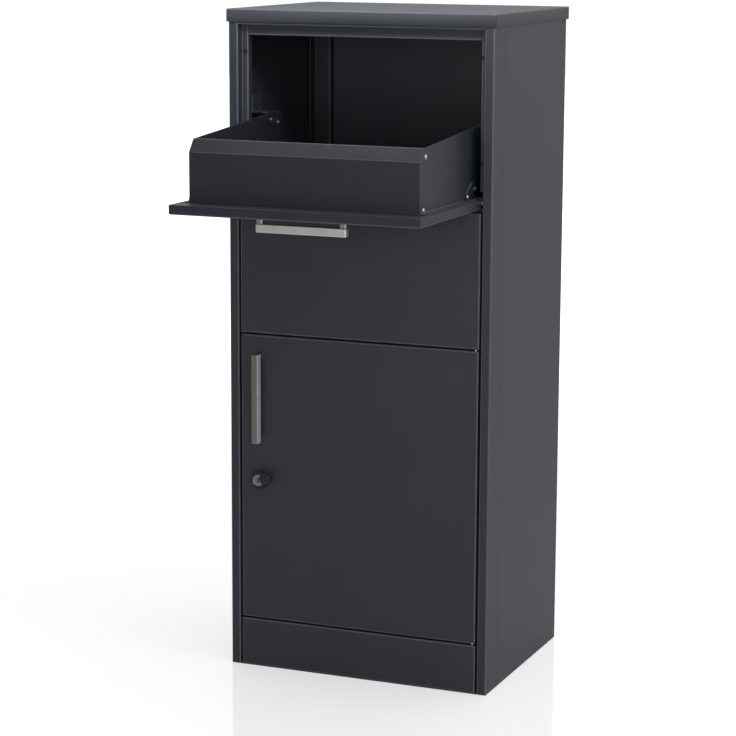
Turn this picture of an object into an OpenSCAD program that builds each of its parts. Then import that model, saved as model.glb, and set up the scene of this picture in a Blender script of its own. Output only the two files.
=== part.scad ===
// Parcel drop box: a folded steel cabinet with a tilting hopper above and a locked door below.
// Millimetres. X runs across, Y runs back, Z is up. The origin is the middle of the footprint, on the floor.
// The hopper is drawn open, which is its rest, and the door is drawn closed.

/* [Cabinet] */
// Width of the body
body_w = 420; // [360:10:520]
// Depth of the body
body_d = 330; // [300:10:420]
// Overall height
body_h = 1010; // [940:10:1200]
// Thickness of the folded steel sheet
sheet_t = 1.2; // [1:0.1:1.5]
// Outer radius of every fold
bend_r = 2; // [1.8:0.2:3]

/* [Roof] */
// How far the roof stands out past the body on each side
roof_overhang = 3; // [2:0.5:8]
// Height of the roof's skirt
roof_skirt = 19; // [14:1:30]

/* [Front frame] */
// Width of each post's front flange
flange_w = 15; // [12:1:24]
// Depth of the recess that the flap and the door close into
recess_d = 15.5; // [15:0.5:20]
// Width of the stop flange behind the recess
stop_w = 10; // [8:1:16]
// Depth of the inner return behind the stop flange
stop_return = 13; // [10:1:20]
// How far each post wraps round the side
post_leaf = 45; // [30:1:70]
// Drop of the top rail below the roof's skirt
rail_drop = 4; // [3:1:12]
// Height of the stop flange under the top rail
rail_stop_h = 16; // [12:1:24]
// Width of the seam between a post and its side panel
seam_w = 0.8; // [0.5:0.1:1.5]

/* [Front panels] */
// Height of the plinth
plinth_h = 75; // [60:5:120]
// Height of the door
door_h = 443.5; // [380:5:520]
// Height of the fixed panel between the door and the hopper
mid_h = 199.5; // [170:5:240]
// Gap above and below the door
door_gap = 3; // [2.5:0.5:5]
// Gap between a front panel and the posts
side_gap = 3; // [2:0.5:5]
// Depth of the top and bottom returns of the fixed panels
panel_return = 12; // [10:1:13]

/* [Door] */
// Thickness of the door
door_t = 12; // [11:0.5:13]
// Gap between the door and the posts
door_side_gap = 3.5; // [3.5:0.5:5]
// Door pivot axis, in from the door's edge
door_pivot_in = 5.5; // [5:0.5:8]
// Door pivot axis, back from the door's face
door_pivot_back = 5; // [5:0.5:6]
// Diameter of the door's pivot pins
door_pin_d = 5; // [4:0.5:5]

/* [Hopper flap] */
// Thickness of the flap
flap_t = 14; // [13:0.5:14]
// Gap between the flap and the posts
flap_side_gap = 4; // [3:0.5:6]
// Gap above the closed flap
flap_top_gap = 3; // [2:0.5:5]
// Gap below the closed flap
flap_bottom_gap = 5.5; // [5:0.5:8]
// Hopper pivot axis, back from the closed flap's face
hopper_pivot_back = 9; // [8.5:0.5:10]
// Hopper pivot axis, above the closed flap's lower edge
hopper_pivot_up = 9; // [8.5:0.5:10]
// Diameter of the hopper's pivot pins
hopper_pin_d = 6; // [5:0.5:6]

/* [Hopper tray] */
// Clearance between the tray's side plates and the stop flanges
tray_side_clear = 9; // [8:0.5:14]
// Flap left standing in front of the tray's front wall
flap_lip = 35.5; // [30:0.5:50]
// Height of the tray's front wall up to its crease
tray_wall_h = 72.5; // [50:0.5:76]
// Run of the sloping lip above the crease
lip_run = 15; // [8:1:20]
// Rise of the sloping lip above the crease
lip_rise = 19; // [10:1:22]
// Length of the tray behind the pivot
tray_tail = 103; // [80:1:110]
// Extra height of the side plates at the back of the tray
tray_rear_rise = 19.5; // [0:0.5:25]
// Height of the angle along the foot of each side plate
foot_angle_h = 8.5; // [8:0.5:14]

/* [Baffle] */
// Front edge of the fixed baffle, back from the hopper's pivot
baffle_reach = 163; // [160:1:175]
// Baffle's front edge below the hopper's pivot
baffle_drop = 38.5; // [30:0.5:60]
// Rise of the baffle from its front edge to the back panel
baffle_rise = 70; // [30:5:100]

/* [Handles] */
// Length of each pull handle
handle_l = 138; // [110:1:180]
// Width of the handle's bar
handle_w = 10.5; // [9:0.5:14]
// Thickness of the handle's bar
handle_t = 12.5; // [8:0.5:14]
// Projection of the handle
handle_p = 22; // [20:0.5:35]
// Thickness of the handle's two legs
handle_leg = 11; // [9:0.5:14]
// Distance from the door's free edge to its handle and lock
handle_in = 32; // [30:1:45]
// Height of the middle of the door's handle above the door's lower edge
door_handle_z = 348; // [300:5:360]
// Distance from the flap's free edge to its handle
flap_handle_in = 33.5; // [20:0.5:60]

/* [Lock] */
// Height of the lock above the door's lower edge
lock_z = 220; // [150:5:250]
// Diameter of the lock's head
lock_head_d = 18; // [17:0.5:20]
// Diameter of the threaded barrel
lock_barrel_d = 16; // [15:0.5:16.5]
// Diameter of the turning plug
lock_plug_d = 12; // [10:0.5:12.5]
// Outer diameter of the black rosette
rosette_d = 28; // [25:0.5:34]
// Height of the rosette
rosette_h = 12; // [8:0.5:15]
// Length of the cam from its axis
cam_l = 38; // [34:1:42]
// Clearance between the cam and the stop flange's inner return
cam_clear = 1.5; // [1:0.5:3]

/* [Anchors] */
// Diameter of the floor anchor holes
floor_hole_d = 10; // [8:0.5:12]
// Spacing of the floor anchors across
floor_hole_x = 300; // [200:10:340]
// Spacing of the floor anchors front to back
floor_hole_y = 220; // [160:10:240]
// Diameter of the wall anchor holes
wall_hole_d = 9; // [7:0.5:12]
// Spacing of the wall anchors across
wall_hole_x = 300; // [200:10:340]
// Spacing of the wall anchors up the back
wall_hole_z = 400; // [300:10:440]
// Height of the lower wall anchors
wall_hole_low = 240; // [200:10:300]

/* [Hidden] */
$fn = 40;

run_clear = 0.05;      // radial clearance of a turning pin or plug
seat_clear = 0.05;     // radial clearance of a fixed shank or bush in its hole
fit_gap = 0.1;         // gap between a liner and the walls around it
bend_steps = 4;        // facets in one fold
fold_in = bend_r - sheet_t;  // inner radius of every fold
eps = 0.01;

// Overall places, with depth measured back from the front face
half_w = body_w / 2;
under_roof = body_h - sheet_t;
rear_y = body_d - sheet_t;              // front face of the back panel
roof_bottom = body_h - roof_skirt;
rail_z = roof_bottom - rail_drop;       // lower edge of the top rail
post_x = half_w - flange_w;             // inner face of a post's return
stop_x = post_x - stop_w;               // inner edge of a stop flange
stop_rear = recess_d + stop_return;
inner_x = half_w - sheet_t;             // inner face of a side panel

// Front panels
door_z0 = plinth_h + door_gap;
door_z1 = door_z0 + door_h;
mid_z0 = door_z1 + door_gap;
mid_z1 = mid_z0 + mid_h;
panel_x = post_x - side_gap;
panel_flange = 12;                      // width of the panels' rear flanges
door_x = post_x - door_side_gap;
door_pivot_x = door_x - door_pivot_in;

// Hopper, in its own frame: origin on the pivot axis, flap level, tip towards -Y
flap_z0 = mid_z1 + flap_bottom_gap;     // lower edge of the closed flap
flap_h = rail_z - flap_top_gap - flap_z0;
pivot_z = flap_z0 + hopper_pivot_up;
flap_x = post_x - flap_side_gap;
flap_out = -hopper_pivot_back;          // outer face of the flap
flap_in = flap_t - hopper_pivot_back;   // inner face of the flap
flap_heel = hopper_pivot_up;
flap_tip = hopper_pivot_up - flap_h;
tray_x = stop_x - tray_side_clear;      // outer face of the side plates
tray_y = flap_tip + flap_lip;           // outer face of the front wall
crease_z = flap_in + tray_wall_h;
lip_y = tray_y + lip_run;
lip_z = crease_z + lip_rise;
lip_hem = 8;
inside_x = stop_x - 1;                  // widest that the tray may be at the front frame

// Relief in the stop flanges round the hopper's pivot
heel_r = norm([max(hopper_pivot_back, flap_in), hopper_pivot_up]);
relief_z0 = mid_z1 - 2;
relief_z1 = pivot_z + heel_r + 3;

// Hopper stop
lug_y0 = tray_tail - 45;
lug_y1 = tray_tail - 5;
lug_t = 2;
lug_z = lip_z + 10.5;                   // top of the lug
lug_x = tray_x + 21;
buffer_h = 4;
buffer_gap = 0.4;
buffer_x = tray_x + 14;
buffer_y = hopper_pivot_back + lug_y1 - 15;
stop_z = pivot_z + lug_z + buffer_gap + buffer_h;

// Hardware
bush_wall = 2;
bush_flange_t = 1;
plate_t = 3;
screw_d = 4;
rivet_d = 3.2;
rivet_head = 5.6;
small_head = 7;
head_d = 8;
head_h = 2.2;
pad_d = 8;
handle_screw_d = 4;
handle_pitch = handle_l - handle_leg;
lock_x = -door_x + handle_in;
lock_height = door_z0 + lock_z;
head_back = -(rosette_h - 1);           // front face of the lock's head
cam_t = 2.5;
cam_y = stop_rear + cam_clear;
cam_w = 15;
nut_h = 4;
nut_af = 22;

body_colour = [0.20, 0.22, 0.25];
inner_colour = [0.16, 0.17, 0.20];
steel_colour = [0.70, 0.70, 0.72];
nickel_colour = [0.66, 0.64, 0.62];
black_colour = [0.06, 0.06, 0.07];
nylon_colour = [0.10, 0.10, 0.11];

// ---- Helpers ----

function unit(v) = v / norm(v);
function left_of(v) = [-v[1], v[0]];
function spin(v, a) = [v[0] * cos(a) - v[1] * sin(a), v[0] * sin(a) + v[1] * cos(a)];

// Points and directions round the fold at b, on the line a-b-c
function fold(a, b, c, side, t, r) =
    let (u = unit(b - a), v = unit(c - b), turn = atan2(u[0] * v[1] - u[1] * v[0], u * v),
        s = sign(turn), line_r = s == side ? r : r - t,
        centre = b - u * line_r * tan(abs(turn) / 2) + s * line_r * left_of(u))
    [for (i = [0:bend_steps]) let (d = spin(u, turn * i / bend_steps))
        [centre - s * line_r * left_of(d), d]];

// Outline of a sheet folded along a line. side 1 puts the thickness on the line's left, -1 on its right
function sheet_outline(line, side, t, r) =
    let (n = len(line) - 1,
        path = concat([[line[0], unit(line[1] - line[0])]],
            [for (i = [1:n - 1]) each fold(line[i - 1], line[i], line[i + 1], side, t, r)],
            [[line[n], unit(line[n] - line[n - 1])]]))
    concat([for (p = path) p[0]],
        [for (i = [len(path) - 1:-1:0]) path[i][0] + side * t * left_of(path[i][1])]);

module sheet_profile(line, side = 1) {
    polygon(sheet_outline(line, side, sheet_t, bend_r));
}

// Rounded rectangle about the origin
function round_rect(w, h, r, n = 5) =
    [for (k = [0:3], i = [0:n]) let (a = 90 * k + 90 * i / n)
        [(k == 0 || k == 3 ? 1 : -1) * (w / 2 - r) + r * cos(a),
         (k < 2 ? 1 : -1) * (h / 2 - r) + r * sin(a)]];

// Section of a shallow pan: face on y = 0, walls up to d, its two folds rounded
function pan_section(w, d, r) = concat([[w / 2, d], [-w / 2, d]],
    [for (i = [0:bend_steps]) let (a = 180 + 90 * i / bend_steps) [-w / 2 + r + r * cos(a), r + r * sin(a)]],
    [for (i = [0:bend_steps]) let (a = 270 + 90 * i / bend_steps) [w / 2 - r + r * cos(a), r + r * sin(a)]]);

module pan_block(w, h, d, r) intersection() {
    rotate([90, 0, 0]) linear_extrude(h, center = true) polygon(pan_section(w, d, r));
    rotate([90, 0, 90]) linear_extrude(w, center = true) polygon(pan_section(h, d, r));
}

// Folded pan with its face on z = 0 and its walls rising to d
module pan(w, h, d) difference() {
    pan_block(w, h, d, bend_r);
    translate([0, 0, sheet_t]) pan_block(w - 2 * sheet_t, h - 2 * sheet_t, d, fold_in);
}

// The same pan stood up behind the front face, from z0 to z1
module front_shell(x, z0, z1, d) translate([0, 0, (z0 + z1) / 2]) rotate([-90, 0, 0]) pan(2 * x, z1 - z0, d);

// Extrude a profile of (y, z) across X, centred
module along_x(length) {
    rotate([90, 0, 90]) linear_extrude(length, center = true) children();
}

// Extrude a profile of (x, z) along Y, from y0 to y1
module along_y(y0, y1) {
    translate([0, y1, 0]) rotate([90, 0, 0]) linear_extrude(y1 - y0) children();
}

// Extrude a profile of (x, y) up Z, from z0 to z1
module along_z(z0, z1) {
    translate([0, 0, z0]) linear_extrude(z1 - z0) children();
}

// Plate lying in the YZ plane between x0 and x1, from a profile of (y, z)
module plate_x(x0, x1) {
    translate([x0, 0, 0]) rotate([90, 0, 90]) linear_extrude(x1 - x0) children();
}

module rod_x(x0, x1, d) { translate([x0, 0, 0]) rotate([0, 90, 0]) cylinder(d = d, h = x1 - x0); }
module rod_y(y0, y1, d) { translate([0, y0, 0]) rotate([-90, 0, 0]) cylinder(d = d, h = y1 - y0); }
module rod_z(z0, z1, d) { translate([0, 0, z0]) cylinder(d = d, h = z1 - z0); }
module block(low, high) { translate(low) cube(high - low); }

module at_front() { translate([0, -body_d / 2, 0]) children(); }
module both_sides() { children(); mirror([1, 0, 0]) children(); }

// The hopper's frame in the cabinet
module at_pivot() { translate([0, -body_d / 2 + hopper_pivot_back, pivot_z]) children(); }

// Pan head screw or rivet: head towards -Z, shank up from z = 0
module headed(shank_d, shank_l, big_d = head_d, tall = head_h) {
    translate([0, 0, -tall]) cylinder(d1 = big_d * 0.7, d2 = big_d, h = tall);
    cylinder(d = shank_d, h = shank_l);
}

// Flanged bush on the Z axis: flange from -bush_flange_t to 0, body up to length
module bush(bore, length) {
    difference() {
        union() {
            rod_z(-bush_flange_t, 0, bore + 2 * bush_wall + 2 * bush_flange_t);
            rod_z(-eps, length, bore + 2 * bush_wall);
        }
        rod_z(-bush_flange_t - 1, length + 1, bore);
    }
}

// ---- Cabinet shell ----

module roof_cap() color(body_colour)
    translate([0, 0, body_h]) mirror([0, 0, 1])
        pan(body_w + 2 * roof_overhang, body_d + 2 * roof_overhang, roof_skirt);

// Four angles that hold the roof to the side panels
module roof_clips() color(inner_colour) at_front() {
    clip_h = 24;
    for (y = [post_leaf + 25, body_d - 75]) both_sides()
        along_y(y, y + 30)
            sheet_profile([[inner_x - 22, under_roof], [inner_x, under_roof],
                [inner_x, under_roof - clip_h]], -1);
}

// The tongue runs on behind the post's leaf
module side_panel() difference() {
    tongue_y = post_leaf - 20;
    panel_y = post_leaf + seam_w;
    rear_fold = 18;
    sheet = sheet_outline([[-half_w, panel_y], [-half_w, rear_y], [-half_w + rear_fold, rear_y]],
        -1, sheet_t, bend_r);
    along_z(sheet_t, under_roof)
        polygon(concat([for (i = [0:len(sheet) - 2]) sheet[i]],
            [[-inner_x, panel_y + 3], [-inner_x + sheet_t, panel_y + 3], [-inner_x + sheet_t, tongue_y],
            [-inner_x, tongue_y], [-inner_x, panel_y]]));
    back_screw_places() rod_y(-sheet_t - 1, 1, screw_d + 2 * seat_clear);
}
module side_panel_left() color(body_colour) at_front() side_panel();
module side_panel_right() color(body_colour) at_front() mirror([1, 0, 0]) side_panel();

back_edge = 4;          // how far the back panel's edges stand in from the sides
screw_row_z = [40, 300, 560, 820, 980];

module back_screw_places() {
    for (z = screw_row_z) both_sides() translate([half_w - back_edge - 7, rear_y, z]) children();
}

module back_panel() color(body_colour) at_front() difference() {
    block([-half_w + back_edge, rear_y, sheet_t], [half_w - back_edge, body_d, under_roof]);
    for (x = [-1, 1] * wall_hole_x / 2, z = [wall_hole_low, wall_hole_low + wall_hole_z])
        translate([x, 0, z]) rod_y(rear_y - 1, body_d + 1, wall_hole_d);
    back_screw_places() rod_y(-1, sheet_t + 1, screw_d + 2 * seat_clear);
}

module back_panel_screws() color(body_colour) at_front() back_screw_places()
    translate([0, sheet_t, 0]) rotate([90, 0, 0]) headed(screw_d, 2 * sheet_t + 4);

module base_pan() color(inner_colour) at_front() difference() {
    edge = 0.5;
    up = 20;
    wall_x = inner_x - sheet_t - fit_gap;
    union() {
        block([-half_w + edge, edge, 0], [half_w - edge, rear_y, sheet_t]);
        both_sides() block([wall_x, post_leaf + 5, 0], [wall_x + sheet_t, body_d - 40, up]);
    }
    for (x = [-1, 1] * floor_hole_x / 2, y = [-1, 1] * floor_hole_y / 2)
        translate([x, body_d / 2 + y, 0]) rod_z(-1, sheet_t + 1, floor_hole_d);
}

module front_post() difference() {
    along_z(sheet_t, under_roof)
        translate([-half_w, 0]) sheet_profile([[0, post_leaf], [0, 0], [flange_w, 0], [flange_w, recess_d],
            [flange_w + stop_w, recess_d], [flange_w + stop_w, stop_rear]]);
    // relief for the heel of the flap
    block([-post_x + eps, recess_d - eps, relief_z0], [-stop_x + 1, stop_rear + 1, relief_z1]);
    translate([0, hopper_pivot_back, pivot_z])
        rod_x(-post_x - sheet_t - 1, -post_x + 1, hopper_pin_d + 2 * bush_wall + 2 * (run_clear + seat_clear));
    post_rivet_places() rod_y(-1, sheet_t + 1, rivet_d + 2 * seat_clear);
}
module front_post_left() color(body_colour) at_front() front_post();
module front_post_right() color(body_colour) at_front() mirror([1, 0, 0]) front_post();

module top_rail() color(body_colour) at_front() difference() {
    along_x(2 * post_x)
        sheet_profile([[0, under_roof], [0, rail_z], [recess_d, rail_z],
            [recess_d, rail_z - rail_stop_h], [stop_rear, rail_z - rail_stop_h]]);
    both_sides() block([stop_x, recess_d - eps, rail_z - rail_stop_h - 1], [post_x + 1, stop_rear + 1, under_roof]);
}

// ---- Fixed front panels ----

rivet_x = stop_x + sheet_t + fold_in + 3;
rivet_rows = [mid_z0 + 20, (mid_z0 + mid_z1) / 2, mid_z1 - 20, plinth_h - 20, 20];

// Rivet holes through the left stop flange and the panels' rear flanges
module post_rivet_places() {
    for (z = rivet_rows) translate([-rivet_x, recess_d, z]) children();
}

// Pan with shorter returns above and below, and a rear flange down each side
module front_pan(z0, z1) difference() {
    union() {
        front_shell(panel_x, z0, z1, recess_d);
        both_sides() block([panel_x - panel_flange, recess_d - sheet_t, z0], [panel_x - eps, recess_d, z1]);
    }
    block([-panel_x + panel_flange, panel_return, z0 - 1], [panel_x - panel_flange, recess_d + 1, z1 + 1]);
    both_sides() post_rivet_places() rod_y(-sheet_t - 1, 1, rivet_d + 2 * seat_clear);
}

door_bush_hole = door_pin_d + 2 * bush_wall - 2 + 2 * (run_clear + seat_clear);

module mid_panel() color(body_colour) at_front() difference() {
    front_pan(mid_z0, mid_z1);
    translate([door_pivot_x, door_pivot_back, 0]) rod_z(mid_z0 - 1, mid_z0 + sheet_t + 1, door_bush_hole);
}

module plinth_panel() color(body_colour) at_front() difference() {
    front_pan(sheet_t, plinth_h);
    translate([door_pivot_x, door_pivot_back, 0])
        rod_z(plinth_h - sheet_t - 1, plinth_h + 1, door_bush_hole);
}

module panel_rivets() color(body_colour) at_front() both_sides() post_rivet_places()
    translate([0, sheet_t, 0]) rotate([90, 0, 0])
        headed(rivet_d, 2 * sheet_t, rivet_head, 1.4);

// Channels between the posts that the door closes against
module rail(z0, z1) along_x(2 * (stop_x - fit_gap))
    sheet_profile([[stop_rear, z0], [recess_d, z0], [recess_d, z1], [stop_rear, z1]], -1);
module cross_rail() color(inner_colour) at_front() rail(door_z1 - 17, mid_z0 + 20);
module sill_rail() color(inner_colour) at_front() rail(plinth_h - 20, door_z0 + 12);

// ---- Inside the cabinet ----

module rear_channel() {
    face_y = rear_y - 15;
    channel_w = 29;
    leg = 18;
    along_z(sheet_t, under_roof)
        translate([-half_w, 0]) sheet_profile([[2 * sheet_t, face_y - leg], [2 * sheet_t, face_y],
            [channel_w, face_y], [channel_w, rear_y]]);
}
module rear_channel_left() color(inner_colour) at_front() rear_channel();
module rear_channel_right() color(inner_colour) at_front() mirror([1, 0, 0]) rear_channel();

baffle_y = hopper_pivot_back + baffle_reach;
baffle_z = pivot_z - baffle_drop;
baffle_x = inner_x - 1;
baffle_hem = 14;
baffle_notch_x = half_w - 30;

module fixed_baffle() color(inner_colour) at_front() difference() {
    along_x(2 * baffle_x)
        sheet_profile([[baffle_y, baffle_z - baffle_hem], [baffle_y, baffle_z],
            [rear_y - sheet_t, baffle_z + baffle_rise], [rear_y - sheet_t, baffle_z + baffle_rise + 20]], -1);
    both_sides() block([baffle_notch_x, rear_y - 36, baffle_z - baffle_hem - 1],
        [baffle_x + 1, rear_y + 1, baffle_z + baffle_rise + 30]);
}

// Angles under the baffle, one on each side panel
module baffle_brackets() color(inner_colour) at_front() both_sides() {
    run = rear_y - sheet_t - baffle_y;
    slope = atan2(baffle_rise, run);
    translate([inner_x, baffle_y + 20, baffle_z + 20 * tan(slope)]) rotate([slope, 0, 0])
        translate([0, 0, -sheet_t - eps])
            along_y(0, 70) sheet_profile([[-16, 0], [0, 0], [0, -16]], -1);
}

module hopper_stop_brackets() color(steel_colour) at_front() both_sides() {
    block([buffer_x - 8, buffer_y - 16, stop_z], [inner_x, buffer_y + 16, stop_z + lug_t]);
    block([inner_x - lug_t, buffer_y - 16, stop_z], [inner_x, buffer_y + 16, stop_z + 28]);
}

module hopper_stop_buffers() color(black_colour) at_front() both_sides()
    translate([buffer_x, buffer_y, 0]) rod_z(stop_z - buffer_h, stop_z, 12);

// ---- Pivots held by the cabinet ----

module hopper_pivot_plates() color(steel_colour) at_front() both_sides() difference() {
    block([post_x + sheet_t, 2.2, pivot_z - 20], [post_x + sheet_t + plate_t, 24, pivot_z + 20]);
    translate([0, hopper_pivot_back, pivot_z])
        rod_x(post_x, post_x + 10, hopper_pin_d + 2 * bush_wall + 2 * (run_clear + seat_clear));
}

module hopper_pivot_bushes() color(nylon_colour) at_front() both_sides()
    translate([post_x, hopper_pivot_back, pivot_z]) rotate([0, 90, 0])
        bush(hopper_pin_d + 2 * run_clear, sheet_t + plate_t + 1);

module door_plate(z0) difference() {
    block([door_pivot_x - 14, 2.2, z0], [panel_x - 2, panel_return - 0.2, z0 + plate_t]);
    translate([door_pivot_x, door_pivot_back, 0]) rod_z(z0 - 1, z0 + plate_t + 1, door_bush_hole);
}
module door_pivot_plates() color(steel_colour) at_front() {
    door_plate(mid_z0 + sheet_t);
    door_plate(plinth_h - sheet_t - plate_t);
}

module door_bush() difference() {
    bush_d = door_bush_hole - 2 * seat_clear;
    union() {
        rod_z(-bush_flange_t, 0, bush_d + 2);
        rod_z(-eps, sheet_t + plate_t, bush_d);
    }
    rod_z(-bush_flange_t - 1, sheet_t + plate_t + 1, door_pin_d + 2 * run_clear);
}
module door_pivot_bushes() color(nylon_colour) at_front() {
    translate([door_pivot_x, door_pivot_back, mid_z0]) door_bush();
    translate([door_pivot_x, door_pivot_back, plinth_h]) mirror([0, 0, 1]) door_bush();
}

// ---- Rubber pads on the stop flanges ----

pad_x = stop_x + pad_d / 2 + 0.5;
pad_gap = 0.3;

module flap_pads() color(black_colour) at_front() both_sides()
    for (z = [relief_z1 + 40, rail_z - 40])
        translate([pad_x, 0, z]) rod_y(flap_t + pad_gap, recess_d, pad_d);

module door_pads() color(black_colour) at_front()
    for (z = [door_z0 + 40, door_z1 - 40])
        translate([-pad_x, 0, z]) rod_y(door_t + pad_gap, recess_d, pad_d);

// ---- Hopper flap ----

module hopper_flap() color(body_colour) at_pivot() difference() {
    translate([0, (flap_tip + flap_heel) / 2, flap_out]) pan(2 * flap_x, flap_h, flap_t);
    both_sides() rod_x(flap_x - sheet_t - 1, flap_x + 1, hopper_pin_d + 2 * seat_clear);
    flap_handle_screw_places() rod_z(-1, sheet_t + 1, handle_screw_d + 2 * seat_clear);
}

module flap_liner() color(inner_colour) at_pivot() {
    x = flap_x - sheet_t - fit_gap;
    y0 = flap_tip + sheet_t + fit_gap;
    y1 = flap_heel - sheet_t - fit_gap;
    along_x(2 * x) sheet_profile([[y0, flap_in - 6], [y0, flap_in], [y1, flap_in], [y1, flap_in - 2.5]], -1);
}

flap_handle_y = flap_tip + flap_handle_in;
module flap_handle_screw_places() {
    for (x = [-1, 1] * handle_pitch / 2) translate([x, flap_handle_y, flap_out]) children();
}

module hopper_pivot_blocks() color(steel_colour) at_pivot() both_sides() difference() {
    block_l = 22;
    block([flap_x - sheet_t - block_l, flap_heel - 17, flap_out + sheet_t + fold_in],
        [flap_x - sheet_t, flap_heel - 4, flap_in - sheet_t]);
    rod_x(flap_x - sheet_t - block_l - 1, flap_x, hopper_pin_d + 2 * seat_clear);
}

module hopper_pivot_pins() color(steel_colour) at_pivot() both_sides()
    rod_x(flap_x - 20, post_x + sheet_t + plate_t + 2, hopper_pin_d);

// ---- Tray on the flap ----

plate_top = lip_z - 1.1;
side_outline = [[tray_y + sheet_t, flap_in], [tray_y + sheet_t, crease_z - 0.6], [lip_y + 0.8, plate_top],
    [tray_tail, plate_top + tray_rear_rise], [tray_tail, flap_in]];

upper_screw = [tray_y + 20, crease_z + 6];
lower_screw = [tray_y + 10, flap_in + 5.6];
gusset_screws = [[-27, flap_in + 6], [4, flap_in + 15]];
lug_screws = [[lug_y0 + 8, lug_z - 4.5], [lug_y1 - 8, lug_z - 10]];
plate_screws = concat([upper_screw, lower_screw], gusset_screws, lug_screws);

module screw_holes(places, x0, x1) {
    for (p = places) translate([0, p[0], p[1]]) rod_x(x0, x1, screw_d + 2 * seat_clear);
}

module tray_side() difference() {
    plate_x(tray_x - sheet_t, tray_x) polygon(side_outline);
    screw_holes(plate_screws, tray_x - 5, tray_x + 5);
}
module tray_side_left() color(body_colour) at_pivot() mirror([1, 0, 0]) tray_side();
module tray_side_right() color(body_colour) at_pivot() tray_side();

module tray_front() color(body_colour) at_pivot() {
    flange_x = tray_x - sheet_t;
    difference() {
        along_x(2 * tray_x)
            sheet_profile([[tray_y, flap_in], [tray_y, crease_z], [lip_y, lip_z],
                [lip_y + lip_hem, lip_z - lip_hem * 0.8]], -1);
        both_sides() plate_x(flange_x, tray_x + 1)
            polygon(concat([for (i = [0:2]) side_outline[i]], [[lip_y + 30, plate_top + 6], [lip_y + 30, flap_in]]));
    }
    both_sides() difference() {
        plate_x(flange_x - sheet_t, flange_x)
            polygon([[tray_y + sheet_t - eps, flap_in + sheet_t + fit_gap], [tray_y + sheet_t - eps, crease_z - 0.8],
                [lip_y + 0.6, plate_top - 0.2], [lip_y + 7, plate_top - 4], [lip_y + 13, plate_top - 9],
                [lip_y + 13, crease_z - 6], [tray_y + 16, crease_z - 20],
                [tray_y + 16, flap_in + sheet_t + fit_gap]]);
        screw_holes([upper_screw, lower_screw], flange_x - 5, flange_x + 5);
    }
}

module tray_floor() color(inner_colour) at_pivot()
    along_x(2 * (tray_x - 2 * sheet_t - fit_gap))
        sheet_profile([[tray_y + sheet_t, flap_in + 15], [tray_y + sheet_t, flap_in], [tray_tail, flap_in]]);

gusset_y0 = -34;

module tray_foot_angles() color(body_colour) at_pivot() both_sides() difference() {
    along_y(tray_y + sheet_t, gusset_y0 - 2)
        sheet_profile([[tray_x, flap_in + foot_angle_h], [tray_x, flap_in], [inside_x, flap_in]]);
    screw_holes([lower_screw], tray_x - 5, tray_x + 5);
}

module hinge_gussets() color(body_colour) at_pivot() both_sides() difference() {
    union() {
        plate_x(tray_x, tray_x + lug_t)
            polygon([[gusset_y0, flap_in], [flap_heel, flap_in], [flap_heel, flap_in + 25],
                [flap_heel - 14, flap_in + 25], [gusset_y0, flap_in + foot_angle_h + 1.5]]);
        block([tray_x + eps, gusset_y0, flap_in], [inside_x, flap_heel - 1, flap_in + lug_t]);
    }
    screw_holes(gusset_screws, tray_x - 5, tray_x + 5);
}

module stop_lugs() color(steel_colour) at_pivot() both_sides() difference() {
    union() {
        block([tray_x, lug_y0, lug_z - 15], [tray_x + lug_t, lug_y1, lug_z]);
        block([tray_x + eps, lug_y0 + 10, lug_z - lug_t], [lug_x, lug_y1, lug_z]);
    }
    screw_holes(lug_screws, tray_x - 5, tray_x + 5);
}

// Heads inside the tray where a hand can reach them, outside at the front
module tray_screws() color(steel_colour) at_pivot() both_sides() {
    for (p = [upper_screw])
        translate([tray_x, p[0], p[1]]) rotate([0, -90, 0]) headed(screw_d, 2 * sheet_t + 2, small_head);
    for (p = [lower_screw])
        translate([tray_x + sheet_t, p[0], p[1]]) rotate([0, -90, 0]) headed(screw_d, 3 * sheet_t + 2, small_head);
    for (p = gusset_screws)
        translate([tray_x + lug_t, p[0], p[1]]) rotate([0, -90, 0]) headed(screw_d, sheet_t + lug_t + 1, small_head);
    for (p = lug_screws)
        translate([tray_x - sheet_t, p[0], p[1]]) rotate([0, 90, 0]) headed(screw_d, sheet_t + lug_t + 1, small_head);
}

// ---- Handles ----

// Pull handle on the plane z = 0, long in X, standing up along Z
module pull_handle() difference() {
    round_r = 2.5;
    foot_r = 2;
    union() {
        translate([0, 0, handle_p - handle_t / 2]) rotate([90, 0, 90])
            linear_extrude(handle_l, center = true) polygon(round_rect(handle_w, handle_t, round_r));
        for (x = [-1, 1] * handle_pitch / 2) translate([x, 0, 0])
            linear_extrude(handle_p - handle_t / 2) polygon(round_rect(handle_leg, handle_w, foot_r));
    }
    for (x = [-1, 1] * handle_pitch / 2) translate([x, 0, 0]) rod_z(-1, 12, handle_screw_d + 2 * seat_clear);
}

// Screw from behind the sheet that the handle stands on
module handle_screw() translate([0, 0, sheet_t]) mirror([0, 0, 1]) headed(handle_screw_d, sheet_t + 10);

module hopper_handle() color(nickel_colour) at_pivot()
    translate([0, flap_handle_y, flap_out]) mirror([0, 0, 1]) pull_handle();
module hopper_handle_screws() color(steel_colour) at_pivot() flap_handle_screw_places() handle_screw();

module at_door_handle() at_front() translate([lock_x, 0, door_z0 + door_handle_z]) rotate([0, 90, 0]) rotate([90, 0, 0])
    children();
module door_handle() color(nickel_colour) at_door_handle() pull_handle();
module door_handle_screws() color(steel_colour) at_door_handle()
    for (x = [-1, 1] * handle_pitch / 2) translate([x, 0, 0]) mirror([0, 0, 1]) handle_screw();

// ---- Door ----

module door_pivot_hole(z0, z1) translate([door_pivot_x, door_pivot_back, 0])
    rod_z(z0, z1, door_pin_d + 2 * seat_clear);

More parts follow.
